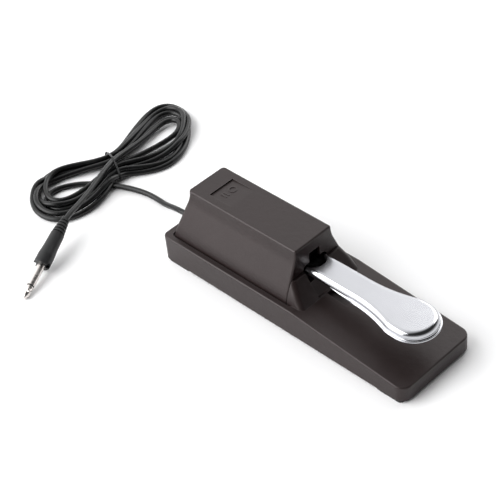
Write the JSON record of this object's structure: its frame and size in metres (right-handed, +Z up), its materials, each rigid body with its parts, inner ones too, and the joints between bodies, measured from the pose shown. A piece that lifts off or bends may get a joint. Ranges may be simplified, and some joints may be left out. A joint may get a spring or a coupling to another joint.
{
  "type": "sustain pedal",
  "caption": "Piano-style sustain pedal: weighted wedge base, flared cover, chromed sprung lever and a tied cord with a jack plug.",
  "frame": {"origin": "on the floor under the middle of the base", "axes": "+X forward to the paddle, +Y to the left seen from the back, +Z up"},
  "size_m": [0.3972, 0.241, 0.0644],
  "materials": {
    "body_plastic": "fine-grained moulded ABS, satin",
    "rubber_feet": "matt rubber",
    "steel_plate": "black powder coat",
    "zinc_screw": "zinc plated",
    "chrome": "polished chrome",
    "nylon": "natural nylon",
    "ground_steel": "ground steel",
    "felt": "dark felt",
    "switch_black": "phenolic, satin",
    "switch_red": "moulded",
    "brass": "plain",
    "wire": "PVC insulation",
    "cord_pvc": "satin PVC jacket",
    "tie_black": "PVC coated wire",
    "plug_black": "moulded PVC, fine grain",
    "nickel": "nickel plate"
  },
  "bodies": {
    "base": {"base_tray": "body_plastic", "top_cover": "body_plastic", "foot_front": "rubber_feet", "foot_rear": "rubber_feet", "down_stop_pad": "rubber_feet", "bottom_plate": "steel_plate", "pivot_bracket": "steel_plate", "bottom_plate_screws": "zinc_screw", "cover_screws": "zinc_screw", "bracket_screws": "zinc_screw", "microswitch_screws": "zinc_screw", "polarity_switch_screws": "zinc_screw", "cord_clamp_screws": "zinc_screw", "cord_clamp": "nylon", "pivot_shaft": "ground_steel", "shaft_clips": "ground_steel", "return_spring": "ground_steel", "up_stop_pads": "felt", "microswitch_body": "switch_black", "polarity_switch_body": "switch_black", "microswitch_terminals": "brass", "signal_wires": "wire", "cord_strain_relief": "cord_pvc", "cord_inner_end": "cord_pvc", "cord_lead": "cord_pvc", "cord_hank": "cord_pvc", "cord_tail": "cord_pvc", "cord_tie": "tie_black", "plug_barrel": "plug_black", "plug_insulator": "plug_black", "plug_sleeve": "nickel", "plug_tip": "nickel"},
    "lever": {"pedal_lever": "chrome", "lever_bushes": "nylon"},
    "plunger": {"microswitch_plunger": "switch_red"},
    "knob": {"polarity_switch_knob": "switch_black"}
  },
  "joints": [
    {"name": "pedal_hinge", "type": "hinge", "parent": "base", "child": "lever", "pos_m": [-0.042, 0, 0.042], "axis": [0, 1, 0], "range_deg": [0, 6.5], "stiffness_Nm_per_rad": 8, "springref_deg": -6.88, "deforming": ["return_spring"]},
    {"name": "plunger_slide", "type": "slide", "parent": "base", "child": "plunger", "axis": [0, 0, 1], "range_m": [0, 0.0014]},
    {"name": "polarity_slide", "type": "slide", "parent": "base", "child": "knob", "axis": [1, 0, 0], "range_m": [0, 0.003]}
  ],
  "couplings": [
    {"joint": "plunger_slide", "follows": "pedal_hinge", "m_per_rad": 0.0118}
  ]
}
